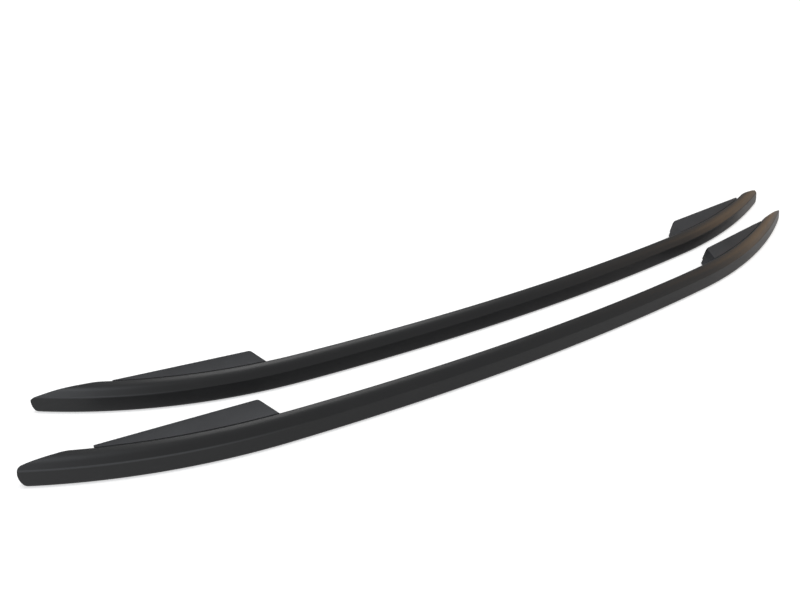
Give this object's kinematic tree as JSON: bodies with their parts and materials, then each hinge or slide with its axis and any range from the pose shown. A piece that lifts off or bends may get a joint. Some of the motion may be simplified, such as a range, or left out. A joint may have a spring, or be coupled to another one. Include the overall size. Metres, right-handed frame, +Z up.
{
  "type": "pair of roof side rails",
  "caption": "Pair of arched roof side rails: hollow faceted bars with slanted noses and moulded wedge feet that bolt lengthwise to a car roof",
  "frame": {"origin": "centre of the bottom of the box round the pair as it lies, so z is 0 where the inner flanks rest", "axes": "+X along the rails, towards the front tip of the left rail; +Y from the left rail, which lies in front, to the right rail behind it; +Z up out of the outer flanks of both rails"},
  "size_m": [1.7229, 0.2764, 0.0427],
  "materials": {
    "bar": "black anodised, satin, with a faint lengthwise grain",
    "foot": "fine grained black moulding",
    "gasket": "matt black foam rubber",
    "plug": "smooth black moulding",
    "insert": "turned",
    "screw": "zinc plated",
    "washer": "zinc plated",
    "nut": "zinc plated"
  },
  "bodies": {
    "root": {"left_bar": "bar", "left_rear_foot": "foot", "left_rear_gasket": "gasket", "left_rear_plug": "plug", "left_rear_inserts": "insert", "left_rear_clamp_screws": "screw", "left_rear_clamp_washers": "washer", "left_rear_nut_plates": "nut", "left_front_foot": "foot", "left_front_gasket": "gasket", "left_front_plug": "plug", "left_front_inserts": "insert", "left_front_clamp_screws": "screw", "left_front_clamp_washers": "washer", "left_front_nut_plates": "nut", "right_bar": "bar", "right_rear_foot": "foot", "right_rear_gasket": "gasket", "right_rear_plug": "plug", "right_rear_inserts": "insert", "right_rear_clamp_screws": "screw", "right_rear_clamp_washers": "washer", "right_rear_nut_plates": "nut", "right_front_foot": "foot", "right_front_gasket": "gasket", "right_front_plug": "plug", "right_front_inserts": "insert", "right_front_clamp_screws": "screw", "right_front_clamp_washers": "washer", "right_front_nut_plates": "nut"}
  },
  "joints": []
}
